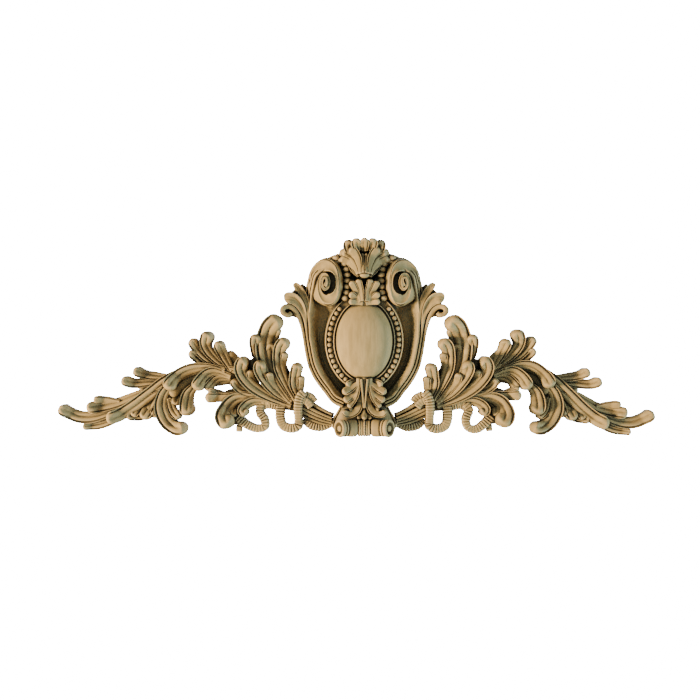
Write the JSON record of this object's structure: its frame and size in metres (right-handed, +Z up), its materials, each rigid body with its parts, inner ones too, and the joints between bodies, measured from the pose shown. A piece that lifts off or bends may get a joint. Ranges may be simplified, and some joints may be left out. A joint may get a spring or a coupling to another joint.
{
  "type": "carved cartouche",
  "caption": "Carved wooden overdoor cartouche: a shield with a plain oval boss, beaded frame, volutes, acanthus crest and rolled base between two leafy sprays with ribbons.",
  "frame": {"origin": "on the flat back, where it meets the wall, behind the centre of the oval boss", "axes": "+Y into the wall, so the carving faces -Y; +Z up; +X to the right as seen from the front, along the longest extent"},
  "size_m": [0.8858, 0.0619, 0.2935],
  "materials": {
    "carved_wood": "matt, unpolished"
  },
  "bodies": {
    "root": {"shield": "carved_wood", "left_spray": "carved_wood", "right_spray": "carved_wood"}
  },
  "joints": []
}
